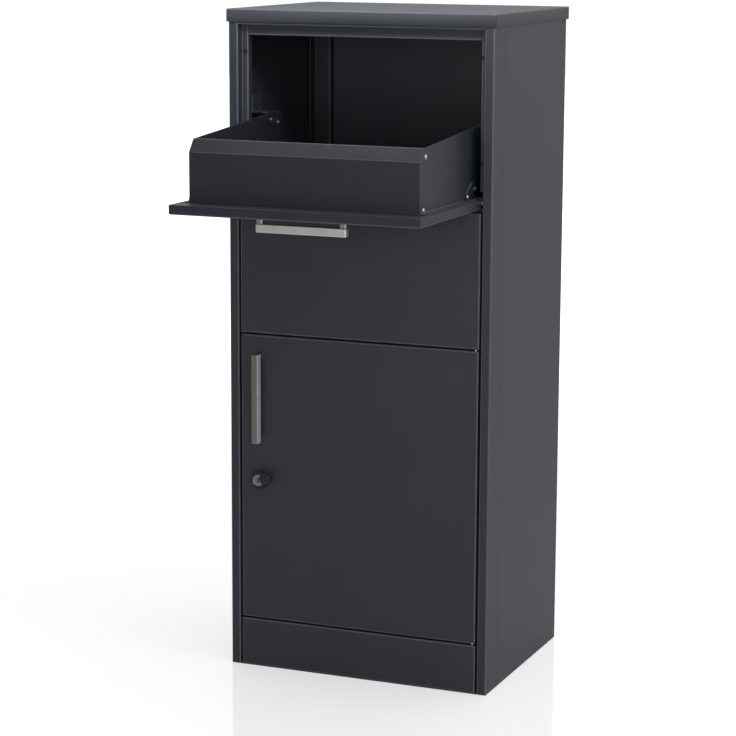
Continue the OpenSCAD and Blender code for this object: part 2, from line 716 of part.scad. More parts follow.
module door_skin() color(body_colour) at_front() difference() {
    front_shell(door_x, door_z0, door_z1, door_t);
    door_pivot_hole(door_z0 - 1, door_z0 + sheet_t + 1);
    door_pivot_hole(door_z1 - sheet_t - 1, door_z1 + 1);
    translate([lock_x, 0, lock_height]) rod_y(-1, sheet_t + 1, lock_barrel_d + 2 * seat_clear);
    for (z = [-1, 1] * handle_pitch / 2) translate([lock_x, 0, door_z0 + door_handle_z + z])
        rod_y(-1, sheet_t + 1, handle_screw_d + 2 * seat_clear);
}

liner_x = door_x - sheet_t - fit_gap;
liner_z0 = door_z0 + sheet_t + fit_gap;
liner_z1 = door_z1 - sheet_t - fit_gap;

module door_liner() color(inner_colour) at_front() difference() {
    along_z(liner_z0, liner_z1)
        sheet_profile([[-liner_x, door_t - 8], [-liner_x, door_t], [liner_x, door_t]], -1);
    translate([lock_x, 0, lock_height]) rod_y(door_t - 3, door_t + 1, lock_barrel_d + 2 * seat_clear);
}

module door_pivot_block(z0) difference() {
    block([door_pivot_x - 8, sheet_t + fold_in, z0], [door_x - sheet_t, door_t - sheet_t, z0 + 20]);
    door_pivot_hole(z0 - 1, z0 + 21);
}
module door_pivot_blocks() color(steel_colour) at_front() {
    door_pivot_block(door_z0 + sheet_t);
    door_pivot_block(door_z1 - sheet_t - 20);
}

module door_pivot_pins() color(steel_colour) at_front() translate([door_pivot_x, door_pivot_back, 0]) {
    rod_z(door_z1 - 18, mid_z0 + sheet_t + plate_t + 2, door_pin_d);
    rod_z(plinth_h - sheet_t - plate_t - 2, door_z0 + 18, door_pin_d);
}

// ---- Lock: Z runs out of the door's face ----

module at_lock() at_front() translate([lock_x, 0, lock_height]) rotate([90, 0, 0]) children();

module lock_rosette() color(black_colour) at_lock() rotate_extrude()
    polygon([[lock_head_d / 2 + 0.3, 0], [rosette_d / 2, 0], [rosette_d / 2, rosette_h - 2.5],
        [rosette_d / 2 - 2.5, rosette_h], [lock_head_d / 2 + 0.3, rosette_h]]);

module lock_housing() color(nickel_colour) at_lock() difference() {
    union() {
        rod_z(0, -head_back, lock_head_d);
        rod_z(-(cam_y - 1), 0, lock_barrel_d);
    }
    rod_z(-cam_y, -head_back + 1, lock_plug_d + 2 * run_clear);
}

module lock_nut() color(steel_colour) at_lock() difference() {
    rotate(30) translate([0, 0, -door_t - nut_h]) cylinder(d = nut_af / cos(30), h = nut_h, $fn = 6);
    rod_z(-door_t - nut_h - 1, -door_t + 1, lock_barrel_d + 2 * seat_clear);
}

module lock_plug() color(nickel_colour) at_lock() difference() {
    rod_z(-cam_y, -head_back - 0.3, lock_plug_d);
    translate([-0.9, -4, -head_back - 10]) cube([1.8, 8, 12]);
    rod_z(-cam_y - 1, -cam_y + 10, screw_d + 2 * seat_clear);
}

module lock_cam() color(steel_colour) at_lock() translate([0, 0, -cam_y - cam_t]) difference() {
    union() {
        cylinder(d = cam_w, h = cam_t);
        translate([-cam_w / 2, -cam_l + 3, 0]) cube([cam_w, cam_l - 3, cam_t]);
        translate([-cam_w / 2 + 3, -cam_l, 0]) cube([cam_w - 6, cam_l, cam_t]);
    }
    rod_z(-1, cam_t + 1, screw_d + 2 * seat_clear);
}

module lock_cam_screw() color(steel_colour) at_lock() translate([0, 0, -cam_y - cam_t])
    headed(screw_d, cam_t + 9);

// ---- Nodes ----

roof_cap();
roof_clips();
side_panel_left();
side_panel_right();
back_panel();
base_pan();
front_post_left();
front_post_right();
top_rail();
mid_panel();
cross_rail();
sill_rail();
plinth_panel();
rear_channel_left();
rear_channel_right();
fixed_baffle();
baffle_brackets();
hopper_stop_brackets();
hopper_stop_buffers();
hopper_pivot_plates();
hopper_pivot_bushes();
door_pivot_plates();
door_pivot_bushes();
flap_pads();
door_pads();
panel_rivets();
back_panel_screws();
hopper_flap();
flap_liner();
tray_front();
tray_side_left();
tray_side_right();
tray_floor();
tray_foot_angles();
hinge_gussets();
stop_lugs();
tray_screws();
hopper_pivot_blocks();
hopper_pivot_pins();
hopper_handle();
hopper_handle_screws();
door_skin();
door_liner();
door_pivot_blocks();
door_pivot_pins();
door_handle();
door_handle_screws();
lock_rosette();
lock_housing();
lock_nut();
lock_plug();
lock_cam();
lock_cam_screw();
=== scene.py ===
import math
import bmesh
import bpy
from mathutils import Matrix, Vector


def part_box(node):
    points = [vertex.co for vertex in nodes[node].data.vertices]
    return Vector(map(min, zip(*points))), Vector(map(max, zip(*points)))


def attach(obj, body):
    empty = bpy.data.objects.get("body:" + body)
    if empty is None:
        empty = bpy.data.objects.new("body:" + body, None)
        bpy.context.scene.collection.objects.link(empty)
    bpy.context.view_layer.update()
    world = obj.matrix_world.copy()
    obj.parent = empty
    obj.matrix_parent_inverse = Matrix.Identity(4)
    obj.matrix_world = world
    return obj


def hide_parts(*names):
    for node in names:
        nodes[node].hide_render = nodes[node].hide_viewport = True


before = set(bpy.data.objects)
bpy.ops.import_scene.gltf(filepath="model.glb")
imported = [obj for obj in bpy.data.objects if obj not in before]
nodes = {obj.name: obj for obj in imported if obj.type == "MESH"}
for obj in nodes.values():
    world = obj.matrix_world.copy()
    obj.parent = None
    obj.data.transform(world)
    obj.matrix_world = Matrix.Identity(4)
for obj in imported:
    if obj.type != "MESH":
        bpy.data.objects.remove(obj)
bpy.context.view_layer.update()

scene = bpy.context.scene
scene.view_settings.view_transform = "Standard"  # keeps the pale floor pale
print("frame loaded:", len(nodes), "parts")


# Helpers for node trees

def link(tree, source, target):
    tree.links.new(source, target)


def addNode(tree, kind, **settings):
    node = tree.nodes.new(kind)
    for label, value in settings.items():
        setattr(node, label, value)
    return node


def feed(tree, value, socket):
    # A socket takes a fixed value or another node's output
    if isinstance(value, bpy.types.NodeSocket):
        link(tree, value, socket)
    else:
        socket.default_value = value


def socketOf(sockets, identifier):
    # Some nodes have several sockets of one name, which only the identifier tells apart
    return next(socket for socket in sockets if socket.identifier == identifier)


def mathNode(tree, operation, first, second, clamp=False):
    node = addNode(tree, "ShaderNodeMath", operation=operation, use_clamp=clamp)
    feed(tree, first, node.inputs[0])
    feed(tree, second, node.inputs[1])
    return node.outputs[0]


def fadeNode(tree, value, stretch, low, high):
    # Goes smoothly from low to high while the value crosses the stretch
    node = addNode(tree, "ShaderNodeMapRange", interpolation_type="SMOOTHSTEP")
    node.inputs["From Min"].default_value, node.inputs["From Max"].default_value = stretch
    node.inputs["To Min"].default_value, node.inputs["To Max"].default_value = low, high
    link(tree, value, node.inputs["Value"])
    return node.outputs["Result"]


def startMaterial(name):
    material = bpy.data.materials.new(name)
    material.use_nodes = True
    tree = material.node_tree
    return material, tree, tree.nodes["Principled BSDF"]


# Camera, light and floor

cameraSetup = {
    "place": (1.368, -3.423, 1.147),
    "yaw": 22.52,      # degrees, turned to the left
    "pitch": 10.64,    # degrees, looking down
    "roll": 0.27,      # degrees
    "lens": 117.9,     # mm
    "sensor": 36,      # mm
}

softboxes = {
    # place, what it points at, width, height, watts, colour
    "keyLight": ((2.3, -0.5, 1.9), (0.1, 0, 0.8), 1.5, 1.8, 15.0, (0.93, 0.96, 1.0)),  # tall, on the right
    "topLight": ((0.2, -0.2, 3.0), (0, 0, 0), 2.6, 2.6, 17.0, (1, 1, 1)),              # broad, overhead
    "frontLight": ((0.35, -3.1, 0.95), (0, 0, 0.6), 1.3, 0.9, 18.0, (1, 1, 1)),        # reaches the opening
    "lipLight": ((0, -0.34, 1.13), (0, -0.17, 1.0), 0.5, 0.05, 0.85, (1, 1, 1)),       # close over the lid
}

studio = {
    "backRoom": 0.80,          # brightness of the room behind the box and to its right
    "frontRoom": 0.13,         # brightness of the room in front of it
    "rightShare": 0.75,        # how much of the right side is bright
    "rightShift": -0.10,
    "roomFade": (-0.25, 0.35),  # where the dark side turns into the bright one
    "seenRoom": 1.05,          # brightness of the room for the camera alone
    "floorRadius": 14.0,
    "floorSteps": 96,
    "floorDrop": 0.0003,       # keeps the floor just below the base
    "floorShade": 0.76,
    "floorRoughness": 0.08,
    "floorSheen": 0.75,
    "floorGlow": 0.50,         # lifts the pale floor to the white of the room, for the camera alone
    "farGlow": 1.0,            # the same, far from the box
    "glowReach": (1.0, 2.4),   # where the one turns into the other, from the middle of the floor
}


def addCamera(setup):
    yaw, pitch, roll = (math.radians(setup[k]) for k in ("yaw", "pitch", "roll"))
    forward = Vector((-math.sin(yaw) * math.cos(pitch), math.cos(yaw) * math.cos(pitch), -math.sin(pitch)))
    right = Vector((math.cos(yaw), math.sin(yaw), 0))
    up = right.cross(forward)
    tiltedRight = right * math.cos(roll) + up * math.sin(roll)
    tiltedUp = up * math.cos(roll) - right * math.sin(roll)
    data = bpy.data.cameras.new("camera")
    data.lens = setup["lens"]
    data.sensor_width = setup["sensor"]
    camera = bpy.data.objects.new("camera", data)
    scene.collection.objects.link(camera)
    turn = Matrix((tiltedRight, tiltedUp, -forward)).transposed().to_4x4()
    camera.matrix_world = Matrix.Translation(setup["place"]) @ turn
    scene.camera = camera


def addSoftbox(name, place, target, width, height, power, colour):
    data = bpy.data.lights.new(name, "AREA")
    data.shape = "RECTANGLE"
    data.size, data.size_y = width, height
    data.energy = power
    data.color = colour
    light = bpy.data.objects.new(name, data)
    scene.collection.objects.link(light)
    light.location = place
    light.rotation_euler = (Vector(target) - Vector(place)).to_track_quat("-Z", "Y").to_euler()


def addWorld(setup):
    world = bpy.data.worlds.new("studio")
    scene.world = world
    world.use_nodes = True
    tree = world.node_tree
    tree.nodes.clear()
    split = addNode(tree, "ShaderNodeSeparateXYZ")
    link(tree, addNode(tree, "ShaderNodeTexCoord").outputs["Generated"], split.inputs[0])
    right = mathNode(tree, "MULTIPLY", split.outputs["X"], setup["rightShare"])
    right = mathNode(tree, "ADD", right, setup["rightShift"])
    bright = mathNode(tree, "MAXIMUM", split.outputs["Y"], right)
    strength = fadeNode(tree, bright, setup["roomFade"], setup["frontRoom"], setup["backRoom"])
    room = addNode(tree, "ShaderNodeBackground")
    link(tree, strength, room.inputs["Strength"])
    seen = addNode(tree, "ShaderNodeBackground")
    seen.inputs["Color"].default_value = (1, 1, 1, 1)
    seen.inputs["Strength"].default_value = setup["seenRoom"]
    mix = addNode(tree, "ShaderNodeMixShader")
    link(tree, addNode(tree, "ShaderNodeLightPath").outputs["Is Camera Ray"], mix.inputs[0])
    link(tree, room.outputs[0], mix.inputs[1])
    link(tree, seen.outputs[0], mix.inputs[2])
    link(tree, mix.outputs[0], addNode(tree, "ShaderNodeOutputWorld").inputs[0])


def addFloor(setup):
    mesh = bpy.data.meshes.new("studioFloor")
    bm = bmesh.new()
    bmesh.ops.create_circle(bm, cap_ends=True, segments=setup["floorSteps"], radius=setup["floorRadius"])
    bm.to_mesh(mesh)
    bm.free()
    floor = bpy.data.objects.new("studioFloor", mesh)
    scene.collection.objects.link(floor)
    floor.location.z = -setup["floorDrop"]
    material, tree, shader = startMaterial("studioFloor")
    shader.inputs["Base Color"].default_value = (*[setup["floorShade"]] * 3, 1)
    shader.inputs["Roughness"].default_value = setup["floorRoughness"]
    shader.inputs["Specular IOR Level"].default_value = setup["floorSheen"]
    shader.inputs["Emission Color"].default_value = (1, 1, 1, 1)
    distance = addNode(tree, "ShaderNodeVectorMath", operation="LENGTH")
    link(tree, addNode(tree, "ShaderNodeTexCoord").outputs["Object"], distance.inputs[0])
    glow = fadeNode(tree, distance.outputs["Value"], setup["glowReach"], setup["floorGlow"], setup["farGlow"])
    seen = addNode(tree, "ShaderNodeLightPath").outputs["Is Camera Ray"]
    link(tree, mathNode(tree, "MULTIPLY", glow, seen), shader.inputs["Emission Strength"])
    mesh.materials.append(material)


addCamera(cameraSetup)
addWorld(studio)
addFloor(studio)
for name, values in softboxes.items():
    addSoftbox(name, *values)
print("camera, light and floor made")


# Shader effects: each is one node group, used by every material that needs it

texture = {
    # how often each pattern repeats, per metre
    "cloudScale": 7.0,      # patches in the coat's colour and gloss
    "waveScale": 1.6,       # slow waves in the sheet itself
    "edgeMarkScale": 60.0,      # breaks up the lighter edge colour, thin paint and painted highlight along an edge
    "dustScale": 18.0,
    "smearScale": 45.0,     # smears on bare metal
    # how strong each is
    "fineRatio": 3.1,       # how much finer the speckle is than the orange peel
    "glossDrift": 0.10,
    "peelHeight": 0.7,
    "fineHeight": 0.3,
    "waveHeight": 6.0,
    "wornBase": 0.4,
    "scratchGloss": 0.18,
    "smearGloss": 0.12,
    # strength of the bump, and its depth in metres
    "coatBump": (0.6, 0.0003),
    "plasticBump": (0.2, 0.0001),
    "metalDepth": 0.0001,
}


def newGroup(name, inputs, outputs):
    tree = bpy.data.node_groups.new(name, "ShaderNodeTree")
    for label, kind, value in inputs:
        socket = tree.interface.new_socket(name=label, in_out="INPUT", socket_type=kind)
        socket.default_value = value
    for label, kind in outputs:
        tree.interface.new_socket(name=label, in_out="OUTPUT", socket_type=kind)
    return tree, tree.nodes.new("NodeGroupInput"), tree.nodes.new("NodeGroupOutput")


def noiseNode(tree, coords, scale, detail=2.0, roughness=0.5):
    node = addNode(tree, "ShaderNodeTexNoise")
    node.inputs["Detail"].default_value = detail
    node.inputs["Roughness"].default_value = roughness
    link(tree, coords, node.inputs["Vector"])
    feed(tree, scale, node.inputs["Scale"])
    return node.outputs[0]


def swing(tree, noise, amount):
    # Turns noise about its middle value into a change to either side of nothing
    return mathNode(tree, "MULTIPLY", mathNode(tree, "SUBTRACT", noise, 0.5), amount)


def tint(tree, colour, shade):
    node = addNode(tree, "ShaderNodeVectorMath", operation="SCALE")
    link(tree, colour, node.inputs[0])
    link(tree, shade, node.inputs["Scale"])
    return node.outputs[0]


def mixColour(tree, factor, first, second):
    node = addNode(tree, "ShaderNodeMix", data_type="RGBA")
    for label, value in (("Factor_Float", factor), ("A_Color", first), ("B_Color", second)):
        link(tree, value, socketOf(node.inputs, label))
    return socketOf(node.outputs, "Result_Color")


def objectCoords(tree):
    return addNode(tree, "ShaderNodeTexCoord").outputs["Object"]


def buildCoatGrain(look):
    # The fine orange peel of sprayed powder, with faint cloudiness in colour and gloss
    tree, given, out = newGroup("coatGrain", [
        ("Colour", "NodeSocketColor", (0.1, 0.1, 0.1, 1)),
        ("Grain Scale", "NodeSocketFloat", 900.0),
        ("Speckle", "NodeSocketFloat", 0.30),
        ("Cloud", "NodeSocketFloat", 0.20),
        ("Base Roughness", "NodeSocketFloat", 0.42),
    ], [("Colour", "NodeSocketColor"), ("Roughness", "NodeSocketFloat"), ("Height", "NodeSocketFloat")])
    coords = objectCoords(tree)
    peel = noiseNode(tree, coords, given.outputs["Grain Scale"], 2.0, 0.45)
    fineScale = mathNode(tree, "MULTIPLY", given.outputs["Grain Scale"], look["fineRatio"])
    fine = noiseNode(tree, coords, fineScale, 1.0, 0.5)
    cloud = noiseNode(tree, coords, look["cloudScale"], 3.0, 0.55)
    wave = noiseNode(tree, coords, look["waveScale"], 1.0, 0.4)
    change = mathNode(tree, "ADD", swing(tree, fine, given.outputs["Speckle"]),
                      swing(tree, cloud, given.outputs["Cloud"]))
    shade = mathNode(tree, "ADD", change, 1.0)
    rough = mathNode(tree, "ADD", given.outputs["Base Roughness"], swing(tree, cloud, look["glossDrift"]))
    small = mathNode(tree, "MULTIPLY", fine, look["fineHeight"])
    height = mathNode(tree, "ADD", small, mathNode(tree, "MULTIPLY", wave, look["waveHeight"]))
    height = mathNode(tree, "ADD", mathNode(tree, "MULTIPLY", peel, look["peelHeight"]), height)
    link(tree, tint(tree, given.outputs["Colour"], shade), out.inputs["Colour"])
    link(tree, rough, out.inputs["Roughness"])
    link(tree, height, out.inputs["Height"])
    return tree


def buildEdgeWearAndHighlight(look):
    # Paint pulls thin over a fold or a cut edge, and the edges also carry a painted highlight for the light a
    # rounded fold catches, so edges are lighter
    tree, given, out = newGroup("edgeWearAndHighlight", [
        ("Colour", "NodeSocketColor", (0.1, 0.1, 0.1, 1)),
        ("Edge Colour", "NodeSocketColor", (0.3, 0.3, 0.3, 1)),
        ("Amount", "NodeSocketFloat", 0.3),
    ], [("Colour", "NodeSocketColor")])
    mark = addNode(tree, "ShaderNodeAttribute", attribute_name="edgeMask")
    broken = noiseNode(tree, objectCoords(tree), look["edgeMarkScale"], 3.0, 0.6)
    strength = mathNode(tree, "MULTIPLY", mark.outputs["Fac"], given.outputs["Amount"])
    mask = mathNode(tree, "MULTIPLY", strength, mathNode(tree, "ADD", broken, look["wornBase"]), clamp=True)
    mixed = mixColour(tree, mask, given.outputs["Colour"], given.outputs["Edge Colour"])
    link(tree, mixed, out.inputs["Colour"])
    return tree


def buildDust(look):
    # A breath of dust on whatever faces up
    tree, given, out = newGroup("dust", [
        ("Colour", "NodeSocketColor", (0.1, 0.1, 0.1, 1)),
        ("Dust Colour", "NodeSocketColor", (0.45, 0.44, 0.42, 1)),
        ("Amount", "NodeSocketFloat", 0.05),
    ], [("Colour", "NodeSocketColor")])
    split = addNode(tree, "ShaderNodeSeparateXYZ")
    link(tree, addNode(tree, "ShaderNodeNewGeometry").outputs["Normal"], split.inputs[0])
    patchy = noiseNode(tree, objectCoords(tree), look["dustScale"], 4.0, 0.6)
    upward = mathNode(tree, "MULTIPLY", split.outputs["Z"], patchy, clamp=True)
    mask = mathNode(tree, "MULTIPLY", upward, given.outputs["Amount"], clamp=True)
    mixed = mixColour(tree, mask, given.outputs["Colour"], given.outputs["Dust Colour"])
    link(tree, mixed, out.inputs["Colour"])
    return tree


def buildBrushed(look):
    # Fine scratches drawn out along one direction
    tree, given, out = newGroup("brushed", [
        ("Colour", "NodeSocketColor", (0.6, 0.6, 0.6, 1)),
        ("Stretch", "NodeSocketVector", (1, 1, 1)),
        ("Scratch Scale", "NodeSocketFloat", 1500.0),
        ("Contrast", "NodeSocketFloat", 0.25),
        ("Base Roughness", "NodeSocketFloat", 0.3),
    ], [("Colour", "NodeSocketColor"), ("Roughness", "NodeSocketFloat"), ("Height", "NodeSocketFloat")])
    coords = objectCoords(tree)
    stretched = addNode(tree, "ShaderNodeVectorMath", operation="MULTIPLY")
    link(tree, coords, stretched.inputs[0])
    link(tree, given.outputs["Stretch"], stretched.inputs[1])
    scratch = noiseNode(tree, stretched.outputs[0], given.outputs["Scratch Scale"], 3.0, 0.6)
    smear = noiseNode(tree, coords, look["smearScale"], 3.0, 0.5)
    shade = mathNode(tree, "ADD", 1.0, swing(tree, scratch, given.outputs["Contrast"]))
    gloss = mathNode(tree, "ADD", swing(tree, scratch, look["scratchGloss"]),
                     swing(tree, smear, look["smearGloss"]))
    link(tree, tint(tree, given.outputs["Colour"], shade), out.inputs["Colour"])
    link(tree, mathNode(tree, "ADD", given.outputs["Base Roughness"], gloss), out.inputs["Roughness"])
    link(tree, scratch, out.inputs["Height"])
    return tree


coatGrain, edgeWearAndHighlight = buildCoatGrain(texture), buildEdgeWearAndHighlight(texture)
dust, brushed = buildDust(texture), buildBrushed(texture)


def place(tree, group, values):
    node = addNode(tree, "ShaderNodeGroup", node_tree=group)
    for label, value in values.items():
        node.inputs[label].default_value = value
    return node


def addBump(tree, shader, height, strength, distance):
    bump = addNode(tree, "ShaderNodeBump")
    bump.inputs["Strength"].default_value = strength
    bump.inputs["Distance"].default_value = distance
    link(tree, height, bump.inputs["Height"])
    link(tree, bump.outputs["Normal"], shader.inputs["Normal"])


def powderCoat(name, colour, edge, roughness, sheen, wearAndHighlight=0.75, dustAmount=0.05):
    material, tree, shader = startMaterial(name)
    shader.inputs["Specular IOR Level"].default_value = sheen
    grain = place(tree, coatGrain, {"Colour": (*colour, 1), "Base Roughness": roughness})
    wornAndLit = place(tree, edgeWearAndHighlight, {"Edge Colour": (*edge, 1), "Amount": wearAndHighlight})
    dusty = place(tree, dust, {"Amount": dustAmount})
    link(tree, grain.outputs["Colour"], wornAndLit.inputs["Colour"])
    link(tree, wornAndLit.outputs["Colour"], dusty.inputs["Colour"])
    link(tree, dusty.outputs["Colour"], shader.inputs["Base Color"])
    link(tree, grain.outputs["Roughness"], shader.inputs["Roughness"])
    addBump(tree, shader, grain.outputs["Height"], *texture["coatBump"])
    return material


def brushedMetal(name, colour, stretch, roughness, contrast=0.25, scale=1500.0, strength=0.12):
    material, tree, shader = startMaterial(name)
    shader.inputs["Metallic"].default_value = 1.0
    group = place(tree, brushed, {"Colour": (*colour, 1), "Stretch": stretch, "Scratch Scale": scale,
                                  "Contrast": contrast, "Base Roughness": roughness})
    # lighter edges on the metal: a painted highlight along rounded edges
    wornAndLit = place(tree, edgeWearAndHighlight, {"Edge Colour": (0.8, 0.79, 0.77, 1), "Amount": 0.4})
    link(tree, group.outputs["Colour"], wornAndLit.inputs["Colour"])
    link(tree, wornAndLit.outputs["Colour"], shader.inputs["Base Color"])
    link(tree, group.outputs["Roughness"], shader.inputs["Roughness"])
    addBump(tree, shader, group.outputs["Height"], strength, texture["metalDepth"])
    return material


def mouldedPlastic(name, colour, roughness, sheen, grainScale=1200.0):
    material, tree, shader = startMaterial(name)
    shader.inputs["Specular IOR Level"].default_value = sheen
    grain = place(tree, coatGrain, {"Colour": (*colour, 1), "Grain Scale": grainScale, "Speckle": 0.25,
                                    "Cloud": 0.2, "Base Roughness": roughness})
    dusty = place(tree, dust, {"Amount": 0.08})
    link(tree, grain.outputs["Colour"], dusty.inputs["Colour"])
    link(tree, dusty.outputs["Colour"], shader.inputs["Base Color"])
    link(tree, grain.outputs["Roughness"], shader.inputs["Roughness"])
    addBump(tree, shader, grain.outputs["Height"], *texture["plasticBump"])
    return material


# the second colour of each coat is its edge colour: lighter for thin paint, and a painted highlight for the
# light rounded folds catch
finishes = {
    "coat": powderCoat("anthraciteCoat", (0.035, 0.040, 0.050), (0.15, 0.16, 0.18), 0.42, 0.35),
    # painted shade: the hopper's coat is a darker copy of the same anthracite, which keeps the tray darker
    # than the door
    "hopperCoat": powderCoat("anthraciteHopperShaded", (0.024, 0.028, 0.036), (0.13, 0.14, 0.16), 0.43, 0.33),
    # painted light: the lid's coat is a lighter copy of the same anthracite, standing in for the extra light
    # that the lid's front catches
    "lidCoat": powderCoat("anthraciteLidLit", (0.060, 0.066, 0.079), (0.17, 0.18, 0.20), 0.42, 0.30),
    "inner": powderCoat("anthraciteInside", (0.033, 0.038, 0.047), (0.13, 0.14, 0.155), 0.46, 0.30),
    # painted shade: the door handle's nickel is a darkened copy of the hopper handle's, standing in for the
    # dark room its front reflects
    "handleUp": brushedMetal("brushedNickelUprightShaded", (0.31, 0.29, 0.265), (1, 1, 0.03), 0.27),
    "handleAcross": brushedMetal("brushedNickelAcross", (0.78, 0.76, 0.73), (0.03, 1, 1), 0.36),
    # painted highlight: a much lighter, rougher copy of the nickel for the door handle's sides, standing in
    # for the key light they catch
    "handleSide": brushedMetal("satinNickelSideLit", (0.80, 0.77, 0.75), (1, 1, 0.03), 0.72),
    "polished": brushedMetal("polishedNickel", (0.56, 0.54, 0.52), (1, 1, 1), 0.16, 0.10, 300.0, 0.02),
    # painted shade: the lock's nickel is darkened to stand in for the dark room that its face reflects
    "lockMetal": brushedMetal("satinNickel", (0.31, 0.32, 0.33), (1, 1, 1), 0.22, 0.6, 420.0, 0.25),
    "zinc": brushedMetal("zincPlate", (0.66, 0.67, 0.68), (1, 1, 1), 0.30, 0.35, 260.0, 0.06),
    "blackPlastic": mouldedPlastic("blackMoulding", (0.012, 0.012, 0.013), 0.30, 0.5),
    "nylon": mouldedPlastic("blackNylon", (0.022, 0.022, 0.024), 0.42, 0.4),
    "rubber": mouldedPlastic("blackRubber", (0.018, 0.018, 0.018), 0.70, 0.3, 700.0),
}
print("materials made")


# Sheet metal: each folded part is cleaned up and given small rounded edges

meshCare = {
    "weld": 1e-6,        # metres
    "flatAngle": 0.3,    # degrees; faces this near to one plane become one
    "creaseAngle": 50,   # degrees; sharper edges stay crisp
    "edgeWearAndHighlight": 0.55,    # how much of the edge colour, thin paint and painted highlight, a rounded edge takes
}


def cleanCopy(name):
    bm = bmesh.new()
    bm.from_mesh(nodes[name].data)
    bmesh.ops.remove_doubles(bm, verts=bm.verts, dist=meshCare["weld"])
    flat = math.radians(meshCare["flatAngle"])
    bmesh.ops.dissolve_limit(bm, angle_limit=flat, verts=bm.verts, edges=bm.edges)
    return bm


def edgeLayer(bm):
    return bm.faces.layers.float.get("edgeMask") or bm.faces.layers.float.new("edgeMask")


def markFolds(bm, setup):
    # The long narrow faces of a fold or a cut edge take a little of the edge colour: thin paint, and a
    # painted highlight for the light the bend catches
    mask = edgeLayer(bm)
    for face in bm.faces:
        length = max(edge.calc_length() for edge in face.edges)
        if length > setup["shortestFold"] and face.calc_area() / length < setup["foldWidth"]:
            face[mask] = setup["foldWearAndHighlight"]


def roundEdges(bm, setup):
    sharp = math.radians(setup["sharpAngle"])
    edges = [e for e in bm.edges if len(e.link_faces) == 2 and e.calc_face_angle(0) > sharp]
    mask = edgeLayer(bm)
    made = bmesh.ops.bevel(bm, geom=edges, offset=setup["edgeRadius"], offset_type="OFFSET", segments=2,
                           profile=0.5, affect="EDGES", clamp_overlap=True)
    # the rounded edges take the edge colour: a painted highlight and thin paint
    for face in made["faces"]:
        face[mask] = meshCare["edgeWearAndHighlight"]


def finishMesh(bm, name, materials, body, slot, replaced):
    # Every piece of the object ends here: it rides on its body and stands for its CAD part
    mesh = bpy.data.meshes.new(name)
    for face in bm.faces:
        face.smooth = True
    bm.to_mesh(mesh)
    bm.free()
    for material in materials:
        mesh.materials.append(material)
    mesh.set_sharp_from_angle(angle=math.radians(meshCare["creaseAngle"]))
    piece = bpy.data.objects.new(name, mesh)
    scene.collection.objects.link(piece)
    normals = piece.modifiers.new("evenNormals", "WEIGHTED_NORMAL")
    normals.keep_sharp = True
    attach(piece, body)
    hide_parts(replaced)
    return piece


foldedParts = {
    "edgeRadius": 0.00035,
    "sharpAngle": 35,
    "foldWidth": 0.0022,
    "shortestFold": 0.012,
    "foldWearAndHighlight": 0.8,
    "sets": {  # body, finish, slot
        ("cabinet", "coat", "body_coat"): [
            "side_panel_left", "side_panel_right", "back_panel", "front_post_left", "front_post_right",
            "top_rail", "mid_panel", "plinth_panel"],
        ("cabinet", "inner", "inner_coat"): [
            "base_pan", "cross_rail", "sill_rail", "rear_channel_left", "rear_channel_right", "fixed_baffle",
            "roof_clips", "baffle_brackets"],
        ("hopper", "hopperCoat", "body_coat"): [
            "hopper_flap", "tray_front", "tray_side_left", "tray_side_right", "tray_foot_angles",
            "hinge_gussets"],
        ("hopper", "hopperCoat", "inner_coat"): ["flap_liner", "tray_floor"],
        ("door", "coat", "body_coat"): ["door_skin"],
        ("door", "inner", "inner_coat"): ["door_liner"],
        ("cabinet", "zinc", "plated_steel"): [
            "hopper_stop_brackets", "hopper_pivot_plates", "door_pivot_plates"],
        ("hopper", "zinc", "plated_steel"): ["stop_lugs", "hopper_pivot_blocks"],
        ("door", "zinc", "plated_steel"): ["door_pivot_blocks", "lock_nut"],
        ("lock", "zinc", "plated_steel"): ["lock_cam"],
    },
}


def camel(name):
    first, *rest = name.split("_")
    return first + "".join(word.capitalize() for word in rest)


for (body, finish, slot), members in foldedParts["sets"].items():
    for member in members:
        bm = cleanCopy(member)
        markFolds(bm, foldedParts)
        roundEdges(bm, foldedParts)
        finishMesh(bm, camel(member), [finishes[finish]], body, slot, member)
print("sheet metal made")


# Small turned and moulded parts: softened copies

smallParts = {
    "edgeRadius": 0.0003,
    "sharpAngle": 40,
    "pieces": {  # body, finish, slot
        "hopper_pivot_bushes": ("cabinet", "nylon", "nylon"),
        "door_pivot_bushes": ("cabinet", "nylon", "nylon"),
        "hopper_stop_buffers": ("cabinet", "rubber", "rubber"),
        "flap_pads": ("cabinet", "rubber", "rubber"),
        "door_pads": ("cabinet", "rubber", "rubber"),
        "hopper_pivot_pins": ("hopper", "zinc", "plated_steel"),
        "door_pivot_pins": ("door", "zinc", "plated_steel"),
        "lock_housing": ("door", "lockMetal", "lock_nickel"),
        "lock_plug": ("lock", "lockMetal", "lock_nickel"),
    },
}
for name, (body, finish, slot) in smallParts["pieces"].items():
    bm = cleanCopy(name)
    roundEdges(bm, smallParts)
    finishMesh(bm, camel(name), [finishes[finish]], body, slot, name)
print("pins, bushes, pads and lock barrel made")


# Pull handles: a brushed bar with rounded edges on two polished legs

